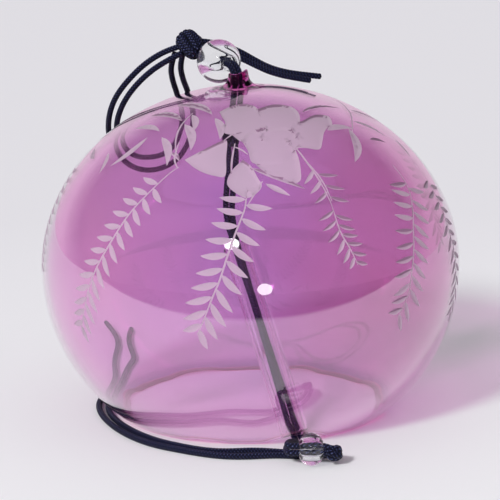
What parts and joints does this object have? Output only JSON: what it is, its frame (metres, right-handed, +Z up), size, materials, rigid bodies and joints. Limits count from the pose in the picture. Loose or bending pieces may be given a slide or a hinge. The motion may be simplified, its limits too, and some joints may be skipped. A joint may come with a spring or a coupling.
{
  "type": "wind bell",
  "caption": "Blown glass wind bell, mouth down, with a glass clapper tube and beads on a knotted doubled cord that passes through its neck",
  "frame": {"origin": "centre of the mouth on the table", "axes": "+Z up along the bell's axis, out of the crown; -Y towards the viewer, where the lower bead lies outside the rim"},
  "size_m": [0.11, 0.1435, 0.0988],
  "materials": {
    "lustre_glass": "pink and purple lustre glass, cut with a frosted floral ornament",
    "clear_glass": "clear, polished",
    "navy_cord": "round braid, dark navy"
  },
  "bodies": {
    "bell": {"glass_bell": "lustre_glass"},
    "hanger": {"hanger_knot": "navy_cord", "loop_cord_outer": "navy_cord", "loop_cord_inner": "navy_cord", "top_tail_a": "navy_cord", "top_tail_b": "navy_cord", "neck_cord_a": "navy_cord", "neck_cord_b": "navy_cord"},
    "top_bead": {"top_bead": "clear_glass"},
    "clapper": {"inner_knot": "navy_cord", "lower_knot": "navy_cord", "clapper_cord_a": "navy_cord", "clapper_cord_b": "navy_cord", "floor_tail_a": "navy_cord", "floor_tail_b": "navy_cord"},
    "clapper_tube": {"clapper_tube": "clear_glass"},
    "lower_bead": {"lower_bead": "clear_glass"}
  },
  "joints": [
    {"name": "hanger_lift", "type": "hinge", "parent": "bell", "child": "hanger", "pos_m": [-0.0024, 0, 0.0916], "axis": [0.8286, 0.5598, 0], "range_deg": [0, 90], "deforming": ["neck_cord_a", "neck_cord_b"]},
    {"name": "top_bead_spin", "type": "hinge", "parent": "hanger", "child": "top_bead", "pos_m": [-0.0074, 0.0074, 0.09165], "axis": [-0.5598, 0.8286, 0.0056], "continuous": true},
    {"name": "clapper_swing", "type": "hinge", "parent": "bell", "child": "clapper", "pos_m": [-0.0024, 0, 0.0848], "axis": [0.9323, 0.3616, 0], "range_deg": [0, 40], "deforming": ["floor_tail_a", "floor_tail_b"]},
    {"name": "tube_spin", "type": "hinge", "parent": "clapper", "child": "clapper_tube", "pos_m": [0.0104, -0.033, 0.00216], "axis": [0.2709, -0.4809, -0.8339], "continuous": true},
    {"name": "lower_bead_spin", "type": "hinge", "parent": "clapper", "child": "lower_bead", "pos_m": [0.0139, -0.054, 0.0042], "axis": [1, 0, 0], "continuous": true}
  ]
}
